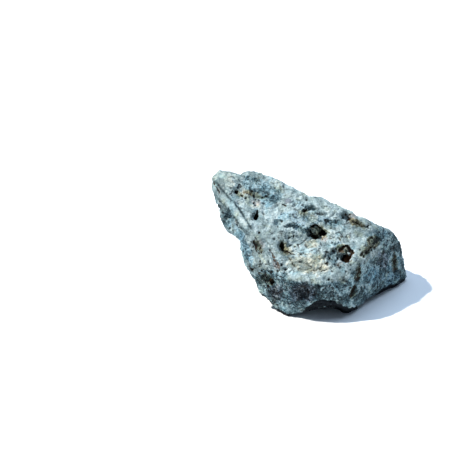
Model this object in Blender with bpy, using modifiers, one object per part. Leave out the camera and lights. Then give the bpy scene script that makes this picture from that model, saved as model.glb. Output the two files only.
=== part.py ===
"""Hakkai stone: one weathered, blue-grey, pitted stone that rests on small flat spots of its underside.

The form is worked out in millimetres, seen from above its pitted side: u runs to the right, v up that view and
w out of it. The last steps lean the view back by its slope, set the stone on the ground and bring it to metres.
"""

import math

import bmesh
import bpy
import numpy as np
from mathutils import Vector, noise

NAME = "stone"
MM = 0.001
FACE_SLOPE = math.radians(25)
GROUND_DROP = 51.4
SIGHT_LENGTH = 2974.0
SIGHT_MIDDLE = (-75.7, 15.0)
TRIANGLES = 9400

BODY_VOXEL = 1.6
SKIN_VOXEL = 1.3
EDGE_ROUNDING = 1.8
BROAD_RUN = 25
RIM_SHARE = 0.86
FLAT_SNAP = 0.35
ON_GROUND = 0.001
GROUND_BLOCK = 400.0
LUMP_SIZE, LUMP_RISE, BACK_LUMP_RISE = 26.0, 1.6, 3.4
KNOB_SIZE, KNOB_RISE = 8.0, 0.7

STONE_COLOUR = (0.19, 0.25, 0.27, 1.0)
STONE_ROUGHNESS = 0.82

# Each broad facet of the body: the way it faces, and its distance from the middle.
FACETS = {
    "pitted face": ((0.13, 0.36, 0.925), 35.2),
    "left band": ((-0.74, -0.42, 0.52), 56.0),
    "left back": ((-0.78, -0.36, -0.51), 43.2),
    "top": ((0.38, 0.91, -0.15), 39.5),
    "back": ((0.05, 0.66, -0.75), 50.0),
    "low back": ((0.10, -0.09, -0.98), 75.0),
    "low front": ((0.0, -0.68, 0.73), 62.0),
    "low right front": ((0.27, -0.38, 0.885), 62.0),
    "right": ((0.82, -0.304, 0.484), 62.8),
    "shoulder": ((0.80, 0.45, 0.40), 61.0),
    "right back": ((0.70, 0.20, -0.68), 92.0),
    "tip top": ((-0.05, 0.98, 0.20), 76.0),
    "tip left": ((-0.98, 0.15, 0.15), 100.0),
    "underside": ((0.0, -math.cos(FACE_SLOPE), -math.sin(FACE_SLOPE)), 53.4),
}

# The outline against the sky and the ground, from the tip round by the right, as (u, v).
OUTLINE = [
    (-84.2, 69.8), (-74.8, 67.6), (-65.5, 66.0), (-57.2, 69.8), (-39.0, 64.4), (-25.0, 58.4), (-12.4, 51.1),
    (0.0, 44.9), (10.1, 44.4), (21.8, 38.1), (29.6, 34.3), (37.4, 32.0), (43.7, 26.8), (49.9, 25.7),
    (59.2, 19.4), (68.5, 17.1), (74.8, 14.0), (80.2, 7.8), (84.2, -0.7), (85.7, -9.4), (88.5, -20.6),
    (89.3, -28.6), (88.6, -33.7), (80.4, -39.5), (72.5, -42.0), (61.4, -48.4), (54.2, -51.0), (42.0, -60.6),
    (32.7, -65.5), (20.6, -65.0), (9.4, -62.6), (-3.7, -62.0), (-8.4, -64.0), (-16.8, -65.5), (-21.5, -66.4),
    (-27.1, -63.6), (-34.3, -57.3), (-38.3, -51.0), (-46.0, -44.4), (-51.4, -32.0), (-58.0, -23.4),
    (-61.5, -15.6), (-63.9, -6.3), (-65.0, 3.9), (-69.4, 7.8), (-74.1, 10.1), (-79.5, 15.6), (-82.9, 24.1),
    (-84.4, 35.1), (-88.5, 41.3), (-90.0, 48.3), (-90.4, 63.9),
]

# Where the front tucks in under itself: (u, v of the edge, w where the wall behind it meets the ground).
UNDERCUT = [
    (-14.0, -66.5, 16.0), (-8.0, -63.5, 13.5), (-4.7, -58.8, 7.0), (0.0, -55.4, 2.0), (6.0, -51.4, -1.0),
    (12.7, -50.2, -2.0), (18.0, -50.6, 0.0), (23.4, -52.4, 5.0), (29.9, -55.4, 13.0), (36.7, -58.3, 15.0),
    (40.8, -57.9, 9.0), (47.4, -56.1, -1.0), (55.2, -51.1, -14.0), (59.5, -47.4, -18.0), (66.1, -40.8, -25.0),
    (75.5, -36.9, -35.0), (82.2, -35.5, -41.0), (87.5, -31.0, -48.0), (94.0, -25.0, -54.0),
]
WALL_LEAN = 1.0
UNDERCUT_STEP = 2.5

# Broad swellings (+) and hollows (-) of the pitted side: (u, v, width, height, turn in degrees, rise).
SWELLS = {
    "pale bulge": (24.0, -22.0, 70.0, 42.0, 8.0, 6.0),
    "upper lobe": (14.0, 31.0, 50.0, 18.0, -22.0, 2.2),
    "tip knob": (-77.0, 60.0, 22.0, 16.0, -20.0, 1.5),
    "upper hollow": (-44.0, 42.0, 46.0, 22.0, -25.0, -2.4),
    "middle valley": (-14.0, 22.0, 40.0, 20.0, -35.0, -1.6),
    "foot hollow": (-41.0, -30.0, 16.0, 14.0, 0.0, -2.2),
    "hollow under the lip": (-4.7, -44.5, 26.0, 17.0, 0.0, -4.5),
    "right hollow": (66.0, -22.0, 26.0, 26.0, 0.0, -2.0),
    "shoulder": (70.0, 8.0, 20.0, 18.0, 0.0, 1.6),
}

# Pits: (u, v, width, height, turn in degrees, depth).
PITS = [
    (-50.2, 26.9, 7.5, 11.0, -20.0, 8.0),
    (-69.4, 49.6, 6.0, 6.0, 0.0, 4.5),
    (6.3, 11.7, 20.0, 16.0, -12.0, 10.0),
    (33.5, -9.4, 13.5, 16.0, 20.0, 10.0),
    (23.0, -11.5, 19.0, 17.0, 0.0, 4.0),
    (-25.7, -2.3, 8.5, 15.0, 22.0, 7.0),
    (53.0, 16.8, 7.5, 6.5, -20.0, 5.0),
    (34.3, 26.5, 9.5, 13.0, 35.0, 6.0),
    (0.7, 33.5, 13.0, 6.5, 8.0, 4.0),
    (-40.5, -30.4, 14.0, 10.0, -30.0, 3.0),
    (-35.8, -34.3, 6.0, 5.0, 0.0, 5.0),
    (-53.0, -21.8, 4.0, 4.0, 0.0, 3.0),
    (-75.5, 26.5, 11.0, 8.0, -30.0, 2.6),
    (18.0, 20.3, 8.5, 7.0, 0.0, 2.5),
    (-30.4, 20.3, 8.0, 8.0, 0.0, 1.6),
]

# Grooves: the points that each runs through in the view, its width and its depth.
GROOVES = [
    ([(62.4, 6.3), (56.0, -3.0), (49.8, -10.9)], 5.0, 2.2),
    ([(45.8, -21.5), (43.0, -35.5), (38.1, -46.8)], 4.0, 2.6),
    ([(-52.4, 4.7), (-44.9, -7.5)], 4.6, 1.8),
    ([(34.3, 26.5), (44.0, 20.0), (53.0, 16.8)], 5.0, 1.8),
    ([(78.0, -1.0), (79.5, -13.0), (79.0, -26.0)], 4.0, 1.6),
    ([(-80.0, 56.0), (-66.0, 40.0), (-53.0, 23.0), (-41.0, 3.0), (-30.0, -14.0)], 3.0, 1.4),
]

# The raised ribs along the ridge between the pitted side and the left band, in the same terms.
RIBS = [
    ([(-86.0, 58.4), (-72.0, 41.0), (-59.0, 23.5), (-48.0, 4.0), (-35.0, -15.0), (-28.4, -21.8)], 6.0, 1.5),
]

# Hollows of the underside, between its feet: (x, y, width, depth) on the ground.
SOLE_HOLLOWS = [(28.0, 4.0, 66.0, 7.0), (-8.0, 26.0, 34.0, 5.0), (62.0, 34.0, 36.0, 5.0), (8.0, -22.0, 30.0, 4.0)]

BACK_PITS = 22
BACK_SEED = 7


def clear_scene():
    for obj in list(bpy.data.objects):
        bpy.data.objects.remove(obj, do_unlink=True)


def smooth_step(low, high, value):
    """0 below low and 1 above high, with an even rise between them."""
    share = np.clip((value - low) / (high - low), 0.0, 1.0)
    return share * share * (3.0 - 2.0 * share)


def facet_field(points):
    """How far each point lies outside the facets' rounded meeting, and the way that this rises fastest."""
    ways = np.array([way for way, _ in FACETS.values()])
    ways /= np.linalg.norm(ways, axis=1, keepdims=True)
    distances = np.array([distance for _, distance in FACETS.values()])
    outside = points @ ways.T - distances
    most = outside.max(axis=1, keepdims=True)
    share = np.exp((outside - most) / EDGE_ROUNDING)
    total = share.sum(axis=1, keepdims=True)
    value = most[:, 0] + EDGE_ROUNDING * np.log(total[:, 0])
    return value, (share / total) @ ways


def onto_facets(points, directions=None, rounds=40):
    """Moves points onto the facets' surface, along their directions from the middle or straight to it."""
    for _ in range(rounds):
        value, rise = facet_field(points)
        way = rise if directions is None else directions
        slope = np.maximum((way * rise).sum(axis=1), 0.05)
        points = points - way * (value / slope)[:, None]
    return points


def mesh_points(mesh):
    points = np.empty(len(mesh.vertices) * 3)
    mesh.vertices.foreach_get("co", points)
    return points.reshape(-1, 3) / MM


def mesh_normals(mesh):
    normals = np.empty(len(mesh.vertices) * 3)
    mesh.vertices.foreach_get("normal", normals)
    return normals.reshape(-1, 3)


def set_points(mesh, points):
    mesh.vertices.foreach_set("co", (points * MM).ravel())
    mesh.update()


def with_modifier(obj, kind, **settings):
    """Applies one modifier to an object's mesh."""
    modifier = obj.modifiers.new(kind.title(), kind)
    for setting, value in settings.items():
        setattr(modifier, setting, value)
    shaped = bpy.data.meshes.new_from_object(obj.evaluated_get(bpy.context.evaluated_depsgraph_get()))
    obj.modifiers.clear()
    old = obj.data
    obj.data = shaped
    bpy.data.meshes.remove(old)


def body_of_facets():
    """A ball, pushed out or in along its own rays until it lies on the facets, with an even mesh."""
    bpy.ops.mesh.primitive_ico_sphere_add(subdivisions=7, radius=MM)
    ball = bpy.context.object
    ball.name = NAME
    rays = mesh_points(ball.data)
    rays /= np.linalg.norm(rays, axis=1, keepdims=True)
    set_points(ball.data, onto_facets(rays * 150.0, rays))
    with_modifier(ball, "REMESH", mode="VOXEL", voxel_size=BODY_VOXEL * MM)
    set_points(ball.data, onto_facets(mesh_points(ball.data), rounds=4))
    return ball


def spread_round(values, run):
    """The mean of each value and its neighbours, round a full circle."""
    half = run // 2
    padded = np.concatenate([values[-half:], values, values[:half]])
    return np.convolve(padded, np.ones(run) / run, mode="valid")


def along_edges(mesh, points):
    """Points spread along every edge, so that no degree of the rim is missed."""
    ends = np.empty(len(mesh.edges) * 2, dtype=int)
    mesh.edges.foreach_get("vertices", ends)
    starts, stops = points[ends[0::2]], points[ends[1::2]]
    return np.concatenate([starts + share * (stops - starts) for share in (0.0, 0.25, 0.5, 0.75)])


def reach_by_angle(points):
    """How far the points' own outline reaches from the middle, at each degree round it."""
    angles = np.degrees(np.arctan2(points[:, 1], points[:, 0]))
    reach = np.zeros(360)
    np.maximum.at(reach, np.floor(angles).astype(int) % 360, np.hypot(points[:, 0], points[:, 1]))
    return spread_round(reach, 3)


def to_outline(mesh, points):
    """Scales the view so that the rim of what stands above the ground follows the outline.

    The outline's broad run reaches well in from the rim, and its small bumps stay on the rim itself.
    """
    outline = np.array(OUTLINE)
    outline_angles = np.degrees(np.arctan2(outline[:, 1], outline[:, 0]))
    outline_reach = np.hypot(outline[:, 0], outline[:, 1])
    middles = np.arange(360) + 0.5
    samples = along_edges(mesh, points)
    reach = reach_by_angle(samples[to_ground(samples)[:, 2] > 0.0])
    stretch = np.interp(middles, outline_angles, outline_reach, period=360.0) / reach
    broad = spread_round(stretch, BROAD_RUN)
    angles = np.degrees(np.arctan2(points[:, 1], points[:, 0]))
    share = np.hypot(points[:, 0], points[:, 1]) / np.interp(angles, middles, reach, period=360.0)
    scale = 1.0 + (np.interp(angles, middles, broad, period=360.0) - 1.0) * smooth_step(0.35, 1.0, share)
    scale += np.interp(angles, middles, stretch - broad, period=360.0) * smooth_step(RIM_SHARE, 1.0, share)
    return points * np.column_stack([scale, scale, np.ones(len(points))])


def tuck_under(points):
    """Sets the front back to a wall below the undercut's edge, as an arch between the feet."""
    rows = np.array(UNDERCUT)
    edge = np.interp(points[:, 0], rows[:, 0], rows[:, 1], left=-90.0)
    wall_foot = np.interp(points[:, 0], rows[:, 0], rows[:, 2])
    foot_level = -(GROUND_DROP + wall_foot * math.sin(FACE_SLOPE)) / math.cos(FACE_SLOPE)
    wall = wall_foot + WALL_LEAN * (points[:, 1] - foot_level)
    below = smooth_step(-0.3 * UNDERCUT_STEP, UNDERCUT_STEP, edge - points[:, 1])
    excess = np.maximum(points[:, 2] - wall, 0.0)
    moved = points.copy()
    moved[:, 2] -= excess * below
    return moved


def turned(points, u, v, turn):
    """The points' u and v from a place, in axes turned by some degrees."""
    cos, sin = math.cos(math.radians(turn)), math.sin(math.radians(turn))
    du, dv = points[:, 0] - u, points[:, 1] - v
    return du * cos + dv * sin, dv * cos - du * sin


def front_of(points, u, v):
    """How far out the side that faces the viewer lies at a place."""
    near = np.hypot(points[:, 0] - u, points[:, 1] - v) < 2.5
    return points[near, 2].max()


def fractal(points, size, seed):
    """Smooth noise between about -1 and 1, with lumps of a given size."""
    shift = Vector((seed * 17.3, seed * -9.1, seed * 5.7))
    return np.array([noise.fractal(Vector(p) / size + shift, 1.0, 2.0, 3) for p in points])


def swell(points, normals):
    """The broad swellings and hollows, on the side that faces the viewer."""
    facing = smooth_step(-0.1, 0.35, normals[:, 2])
    rise = np.zeros(len(points))
    for u, v, width, height, turn, most in SWELLS.values():
        along, across = turned(points, u, v, turn)
        rise += most * np.exp(-2.0 * ((2.0 * along / width) ** 2 + (2.0 * across / height) ** 2))
    return points + normals * (rise * facing)[:, None]


def pit_depths(points, normals):
    """How deep the pits and grooves of the pitted side sink each point, and how high its ribs raise it."""
    ragged = 0.22 * fractal(points, 4.0, 3)
    depth = np.zeros(len(points))
    for u, v, width, height, turn, most in PITS:
        along, across = turned(points, u, v, turn)
        from_middle = np.hypot(2.0 * along / width, 2.0 * across / height) + ragged
        level = front_of(points, u, v)
        near = 1.0 - smooth_step(1.2, 1.8, np.abs(points[:, 2] - level) / max(width, height))
        depth = np.maximum(depth, most * near * (1.0 - smooth_step(0.50, 1.05, from_middle)))
    for sign, routes in ((1.0, GROOVES), (-1.0, RIBS)):
        for route, width, most in routes:
            away = 2.0 * distance_to_route(points, route) / width + ragged
            line = most * smooth_step(0.0, 0.3, normals[:, 2]) * (1.0 - smooth_step(0.0, 1.0, away))
            depth = np.where(line > np.abs(depth), sign * line, depth)
    return depth


def distance_to_route(points, route):
    """The distance in the view from each point to a line through the route's points."""
    least = np.full(len(points), np.inf)
    for (u0, v0), (u1, v1) in zip(route[:-1], route[1:]):
        du, dv = u1 - u0, v1 - v0
        share = ((points[:, 0] - u0) * du + (points[:, 1] - v0) * dv) / (du * du + dv * dv)
        share = np.clip(share, 0.0, 1.0)
        least = np.minimum(least, np.hypot(points[:, 0] - u0 - share * du, points[:, 1] - v0 - share * dv))
    return least


def back_pit_depths(points, normals):
    """Pits scattered over the sides that the view doesn't reach, in like sizes."""
    draw = np.random.default_rng(BACK_SEED)
    hidden = np.flatnonzero(normals[:, 2] < -0.15)
    depth = np.zeros(len(points))
    ragged = 0.25 * fractal(points, 4.0, 5)
    for middle in points[draw.choice(hidden, BACK_PITS, replace=False)]:
        width = draw.uniform(5.0, 15.0)
        away = np.linalg.norm((points - middle) / (0.5 * width), axis=1) + ragged
        depth = np.maximum(depth, 0.36 * width * (1.0 - smooth_step(0.3, 1.1, away)))
    return depth


def to_ground(points):
    """Spreads the view along its lines of sight, leans it back by its slope and brings its floor to height 0."""
    cos, sin = math.cos(FACE_SLOPE), math.sin(FACE_SLOPE)
    w = points[:, 2]
    u, v = (SIGHT_MIDDLE + (points[:, :2] - SIGHT_MIDDLE) * (1.0 - w / SIGHT_LENGTH)[:, None]).T
    return np.column_stack([u, v * sin - w * cos, v * cos + w * sin + GROUND_DROP])


def hollow_sole(points):
    """Raises the underside between its feet, so that the cut leaves small flats with hollows between them."""
    low = 1.0 - smooth_step(6.0, 18.0, points[:, 2])
    rise = np.zeros(len(points))
    for x, y, width, most in SOLE_HOLLOWS:
        away = np.hypot(points[:, 0] - x, points[:, 1] - y)
        rise = np.maximum(rise, most * np.exp(-((2.0 * away / width) ** 4)))
    moved = points.copy()
    moved[:, 2] += rise * low
    return moved


def cut_flat(stone):
    """Cuts off what lies under the ground, and keeps the largest piece of what stands on it."""
    points = mesh_points(stone.data)
    points[np.abs(points[:, 2]) < FLAT_SNAP, 2] = -FLAT_SNAP
    set_points(stone.data, points)
    bpy.ops.mesh.primitive_cube_add(size=GROUND_BLOCK * MM, location=(0.0, 0.0, -0.5 * GROUND_BLOCK * MM))
    ground = bpy.context.object
    with_modifier(stone, "BOOLEAN", operation="DIFFERENCE", object=ground)
    bpy.data.objects.remove(ground, do_unlink=True)
    shape = bmesh.new()
    shape.from_mesh(stone.data)
    for vert in shape.verts:
        if vert.co.z < ON_GROUND * MM:
            vert.co.z = 0.0
    drop_crumbs(shape)
    bmesh.ops.triangulate(shape, faces=shape.faces[:])
    shape.to_mesh(stone.data)
    shape.free()


def drop_crumbs(shape):
    """Removes every loose piece but the largest."""
    unseen = set(shape.verts)
    pieces = []
    while unseen:
        piece = set()
        front = {unseen.pop()}
        while front:
            piece |= front
            front = {edge.other_vert(vert) for vert in front for edge in vert.link_edges} & unseen
            unseen -= front
        pieces.append(piece)
    pieces.sort(key=len)
    crumbs = [vert for piece in pieces[:-1] for vert in piece]
    bmesh.ops.delete(shape, geom=crumbs, context="VERTS")


def centre_on_ground(mesh):
    """Sets the middle of the stone's length and depth over the origin."""
    points = mesh_points(mesh)
    middle = 0.5 * (points.min(axis=0) + points.max(axis=0))
    set_points(mesh, points - [middle[0], middle[1], 0.0])


def stone_material():
    material = bpy.data.materials.new("blue-grey stone")
    material.use_nodes = True
    shader = material.node_tree.nodes["Principled BSDF"]
    shader.inputs["Base Color"].default_value = STONE_COLOUR
    shader.inputs["Roughness"].default_value = STONE_ROUGHNESS
    shader.inputs["Metallic"].default_value = 0.0
    return material


def main():
    clear_scene()
    stone = body_of_facets()
    points, normals = mesh_points(stone.data), mesh_normals(stone.data)
    rise = BACK_LUMP_RISE + (LUMP_RISE - BACK_LUMP_RISE) * smooth_step(-0.5, 0.1, normals[:, 2])
    points = swell(points, normals) + normals * (rise * fractal(points, LUMP_SIZE, 1))[:, None]
    set_points(stone.data, tuck_under(to_outline(stone.data, points)))
    with_modifier(stone, "REMESH", mode="VOXEL", voxel_size=SKIN_VOXEL * MM)
    points, normals = mesh_points(stone.data), mesh_normals(stone.data)
    points += normals * (KNOB_RISE * fractal(points, KNOB_SIZE, 2))[:, None]
    points = to_outline(stone.data, points)
    inward = normals + np.array([0.0, 0.0, 0.8]) * (normals[:, 2:] > 0.0)
    inward /= np.linalg.norm(inward, axis=1, keepdims=True)
    depth = pit_depths(points, normals) + back_pit_depths(points, normals)
    set_points(stone.data, hollow_sole(to_ground(points - inward * depth[:, None])))
    with_modifier(stone, "SMOOTH", factor=0.4, iterations=1)
    with_modifier(stone, "DECIMATE", ratio=TRIANGLES / (2.0 * len(stone.data.vertices)))
    cut_flat(stone)
    centre_on_ground(stone.data)
    stone.data.shade_smooth()
    stone.data.materials.append(stone_material())
    collection = bpy.data.collections.new("hakkai stone")
    bpy.context.scene.collection.children.link(collection)
    for holder in list(stone.users_collection):
        holder.objects.unlink(stone)
    collection.objects.link(stone)


main()
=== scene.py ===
"""Hakkai stone: the looks of one weathered, blue-grey, pitted stone that rests on small flats of its underside.

Lengths are in millimetres until they reach a mesh, a node tree or the camera. Places on the pitted side are given
as the camera sees them: u to the right, v up the view and w towards the camera, from the middle of that side.
"""

import math

import bmesh
import bpy
import numpy as np
from mathutils import Matrix, Vector, noise


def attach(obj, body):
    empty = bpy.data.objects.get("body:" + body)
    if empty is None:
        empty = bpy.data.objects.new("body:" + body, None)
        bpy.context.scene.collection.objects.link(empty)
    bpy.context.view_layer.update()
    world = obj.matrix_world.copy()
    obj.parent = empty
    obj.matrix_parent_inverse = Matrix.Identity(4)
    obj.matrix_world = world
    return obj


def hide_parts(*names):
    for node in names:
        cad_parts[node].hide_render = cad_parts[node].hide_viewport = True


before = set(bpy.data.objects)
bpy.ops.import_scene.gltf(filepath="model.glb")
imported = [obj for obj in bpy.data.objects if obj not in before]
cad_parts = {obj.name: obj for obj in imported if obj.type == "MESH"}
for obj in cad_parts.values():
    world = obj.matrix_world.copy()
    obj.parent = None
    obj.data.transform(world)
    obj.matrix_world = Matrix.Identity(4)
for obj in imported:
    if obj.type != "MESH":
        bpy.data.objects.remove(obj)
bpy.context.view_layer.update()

MM = 0.001

# The camera's slope, its distance, the point that it aims at in the view, and where the view's middle lies.
VIEW_SLOPE = math.radians(25)
SIGHT_LENGTH = 2974.0
SIGHT_MIDDLE = (-75.7, 15.0)
VIEW_MIDDLE = (-0.67, -0.13, 51.4)
LENS = 250.0
SENSOR = 36.0

# The skin's grain, and how many times it is smoothed.
SKIN_VOXEL = 0.80
SKIN_SMOOTHING = 5

# What smoothing and relief take off the skin, on average, and so is put back, from the flats up to this height.
SKIN_LIFT = 0.7
LIFT_HEIGHT = 6.0

# How far, and over what size, noise bends the edges of what is set out in the view, and its seed for u and for v.
WANDER = 1.1
WANDER_SIZE = 5.0
WANDER_SEEDS = (8, 9)

# The noise that makes rims ragged, on the pitted side and on the hidden sides: how much, its size and its seed.
RAGGED = [(0.30, 4.5, 3), (0.20, 1.9, 4)]
HIDDEN_RAGGED = [(0.45, 4.5, 5), (0.30, 1.9, 6)]

# How much of it the rims take up that aren't pits' own.
GROOVE_RAGGED = 1.4
BASIN_RAGGED = 0.6
LINE_RAGGED = 0.3
ZONE_RAGGED = 0.8
FACE_RAGGED = 3.0
FOOT_RAGGED = 2.0

# From where to where a face counts more and more as the pitted side: how squarely it faces the camera, and its w.
FRONT_FACING = (-0.02, 0.12)
FRONT_REACH = (-60.0, -40.0)

# How much a mark sinks straight away from the camera for each part that it sinks square to the surface, and from
# where to where a face has to face the camera for that.
SINK_LEAN = 0.8
LEAN_FACING = (0.0, 0.4)

# From where to where each kind of mark's wall rises and its dark lining fades, in shares of its half width.
PIT_WALL = (0.6, 1.0)
PIT_STAIN = (0.75, 1.15)
SPECK_WALL = (0.5, 1.0)
SPECK_STAIN = (0.6, 1.1)
GROOVE_WALL = (0.2, 1.0)
GROOVE_STAIN = (0.4, 1.1)
BASIN_WALL = (0.55, 1.05)
INNER_WALL = (0.5, 1.0)
SWELL_WALL = (0.3, 1.0)
ZONE_EDGE = (0.5, 1.3)

# The pits of the pitted side: (u, v, width, height, turn in degrees, depth, how dark their lining is).
PITS = {
    "tip pit": (-69.4, 49.6, 5.0, 5.0, 0.0, 3.0, 0.9),
    "tip pit's neighbour": (-66.5, 54.5, 4.0, 5.0, -30.0, 1.5, 0.5),
    "teardrop": (-50.5, 26.0, 5.6, 7.5, -20.0, 4.5, 1.0),
    "teardrop's point": (-48.8, 30.4, 2.6, 4.0, -25.0, 2.0, 0.9),
    "cavity's right": (11.9, 11.0, 8.5, 6.0, -25.0, 6.0, 1.0),
    "cavity's foot": (4.6, 7.0, 7.0, 6.5, 0.0, 5.0, 0.9),
    "deep cavity": (34.3, -12.8, 9.0, 12.0, -25.0, 4.6, 1.0),
    "crescent": (-25.9, -1.6, 4.6, 9.5, 12.0, 4.0, 1.0),
    "crescent's foot": (-22.2, -7.5, 4.5, 3.6, -20.0, 2.0, 0.5),
    "shoulder pit": (53.8, 16.8, 4.6, 4.4, -20.0, 3.0, 0.9),
    "edge hollow": (34.0, 26.5, 8.5, 10.0, 35.0, 1.0, 0.2),
    "edge hollow's deep": (36.5, 23.4, 3.6, 3.6, 0.0, 2.0, 0.7),
    "upper slot": (2.6, 33.2, 8.5, 3.4, 8.0, 1.2, 0.25),
    "upper spot": (-5.3, 31.5, 3.0, 2.8, 0.0, 2.0, 0.9),
    "low cluster": (-42.5, -27.5, 9.0, 5.0, -35.0, 1.0, 0.1),
    "low cluster's deep": (-35.9, -34.0, 4.4, 3.8, -20.0, 2.2, 0.75),
    "low cluster's foot": (-38.5, -38.5, 3.0, 3.0, 0.0, 1.5, 0.7),
    "low spot": (-53.0, -21.8, 3.2, 3.2, 0.0, 2.0, 0.9),
    "small spot": (-47.5, 11.2, 2.6, 3.0, 0.0, 1.2, 0.6),
    "high spot": (-63.5, 46.0, 2.4, 2.4, 0.0, 1.0, 0.7),
}

# The grooves: the points they run through, their width, their depth, and how dark their lining is.
GROOVES = {
    "cavity's arc": ([(0.9, 12.6), (1.9, 17.4), (5.6, 19.0), (9.4, 15.6)], 3.4, 4.5, 1.0),
    "deep cavity's arc": (
        [(28.4, -5.0), (31.2, -1.6), (35.2, -1.4), (38.2, -4.6), (39.0, -9.0)], 3.4, 3.0, 0.9,
    ),
    "dark crack": ([(45.8, -21.5), (44.5, -29.0), (42.5, -35.5), (38.1, -46.8)], 4.2, 1.2, 0.52),
    "brown hollow": ([(-51.0, 4.2), (-47.8, -1.0), (-44.9, -7.0)], 5.6, 2.4, 0.1),
    "red crack": ([(-37.4, -4.7), (-32.0, -14.0), (-28.1, -23.4)], 2.8, 1.2, 0.55),
    "edge groove": ([(36.5, 23.4), (44.0, 20.0), (53.0, 16.8)], 3.2, 1.0, 0.25),
    "far right groove": ([(77.0, -4.0), (79.0, -13.0), (78.5, -24.5)], 4.6, 1.2, 0.5),
    "upper crack": ([(-36.0, 41.0), (-29.0, 35.5), (-24.0, 27.0)], 2.2, 0.8, 0.3),
    "tip's dash": ([(-89.1, 58.0), (-86.0, 52.8), (-84.0, 49.6)], 1.6, 0.6, 0.6),
    "brown hollow's rim": ([(-51.0, 6.0), (-52.8, 3.0), (-50.5, -3.5), (-47.0, -8.0)], 1.6, 0.8, 0.8),
    "upper slash": ([(-26.0, 38.5), (-22.5, 36.5)], 2.0, 1.2, 0.8),
    "cream crack": ([(-20.6, -10.3), (-16.8, -15.9), (-12.2, -21.5), (-10.3, -24.3)], 1.5, 0.9, 0.5),
    "upper cream crack": ([(-4.7, -16.8), (0.0, -19.6), (5.6, -20.6)], 1.4, 0.8, 0.5),
    "lower cream crack": ([(0.0, -23.5), (5.6, -24.0), (9.4, -21.0)], 1.4, 0.8, 0.45),
    "short cream crack": ([(10.3, -25.2), (15.9, -23.4)], 1.5, 0.8, 0.6),
    "basin's crack": ([(-15.0, -1.9), (-9.5, 0.9), (-4.7, 3.7)], 1.5, 0.8, 0.55),
    "crescent's crack": ([(-21.5, -5.6), (-18.0, -7.5), (-13.6, -9.4)], 1.5, 0.9, 0.8),
    "left cream crack": ([(-24.0, -24.5), (-19.5, -21.0)], 1.4, 0.7, 0.5),
    "grey dish's rim": ([(16.5, -6.5), (13.2, -11.5), (14.0, -17.0), (19.0, -21.0)], 2.4, 1.0, 0.5),
    "grey dish's split": ([(25.0, -4.0), (26.5, -11.5), (24.0, -19.0)], 3.4, 1.2, 0.45),
    "upper dish's rim": ([(14.5, 16.5), (15.0, 21.0), (19.5, 23.5), (24.0, 20.5)], 2.0, 0.8, 0.45),
    "basin's step": ([(-22.0, 17.5), (-13.0, 16.8), (-7.0, 13.5), (0.0, 13.5)], 4.2, 1.8, 0.3),
}

# Small dark pits that lie together in patches, as (u, v).
SPECKS = {
    "shoulder": [
        (61.7, 5.6), (58.9, 2.8), (56.1, -1.9), (58.0, -4.7), (52.4, -7.5), (50.5, -11.2), (63.6, 0.9),
        (55.2, 4.0), (60.8, -2.2), (54.6, -4.9), (57.4, 6.6), (48.6, -8.2),
    ],
    "dark crack": [
        (45.8, -21.5), (43.9, -26.2), (45.8, -29.9), (43.0, -33.7), (40.2, -38.3), (39.3, -43.0), (37.4, -47.7),
        (47.0, -25.5), (42.0, -30.5), (38.0, -40.0),
    ],
    "under the tip": [
        (-56.0, 47.5), (-52.4, 45.6), (-48.6, 48.6), (-44.9, 44.9), (-41.1, 45.8), (-60.0, 44.0), (-54.0, 50.5),
    ],
    "brown hollow": [(-52.3, 3.8), (-50.0, -0.6), (-47.2, -3.6), (-45.0, -7.0), (-49.0, 3.0), (-53.2, -1.5)],
    "rose patch": [(-50.6, 42.6), (-47.6, 41.4), (-52.6, 39.0)],
    "edge": [
        (44.4, 20.4), (48.2, 18.0), (40.7, 21.5), (33.5, 29.0), (36.0, 25.5), (31.2, 25.8), (34.5, 22.0),
        (37.5, 28.5),
    ],
    "low left": [
        (-44.9, -23.4), (-41.6, -27.2), (-47.0, -27.0), (-35.5, -25.2), (-29.9, -24.3), (-27.1, -29.0),
    ],
    "basin": [
        (-30.0, 17.0), (-27.0, 22.5), (-19.6, 6.5), (-15.0, 9.4), (17.8, -31.8), (28.0, 4.7), (14.0, 22.4),
        (-3.7, 42.0),
    ],
    "grey dish": [(15.0, -6.5), (18.7, -12.2), (15.9, -16.8), (23.4, -15.9), (22.0, -6.0), (26.5, -19.0)],
    "far right": [
        (77.6, -3.0), (79.5, -9.3), (78.5, -16.8), (79.5, -22.4), (70.0, -16.8), (66.4, -22.4), (72.9, -25.2),
    ],
}
SPECK_WIDTH = 2.7
SPECK_DEPTH = 1.3
SPECK_DARK = 0.6

# The pits of the sides that the camera doesn't see: how many, the draw's seed, the range of their widths and of how
# dark they are, their depth as a share of the width, how far their faces turn away from the camera, and how high
# above the ground they start.
HIDDEN_PITS = 46
HIDDEN_PIT_SEED = 5
HIDDEN_PIT_WIDTHS = (2.5, 10.0)
HIDDEN_PIT_DARKS = (0.35, 0.9)
HIDDEN_PIT_DEPTH = 0.5
HIDDEN_PIT_FACING = -0.15
HIDDEN_PIT_LEVEL = 8.0

# The patches of tone on those sides: their size, their seed, how sharply they end, the least slate and what the
# patches add to it, and how pale it is between them.
HIDDEN_PATCH = 26.0
HIDDEN_PATCH_SEED = 12
HIDDEN_PATCH_EDGE = (-0.35, 0.45)
LEAST_SLATE = 0.25
MORE_SLATE = 0.55
HIDDEN_PALE = 0.4

# What stands up inside the two cavities: (u, v, width, height, turn in degrees, rise, how dark it is).
INNER_RIBS = {
    "cavity's knob": (3.2, 13.6, 8.5, 6.0, -35.0, 8.5, 0.14),
    "deep cavity's rib": (30.4, -6.2, 7.5, 4.0, 25.0, 5.0, 0.15),
}

# Where the tip swells out a little: (u, v, width, height, turn in degrees, rise).
TIP_SWELLS = {
    "tip's end": (-92.0, 50.0, 18.0, 36.0, 10.0, 1.0),
    "tip's top": (-74.0, 68.5, 20.0, 14.0, 0.0, 1.1),
}

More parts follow.
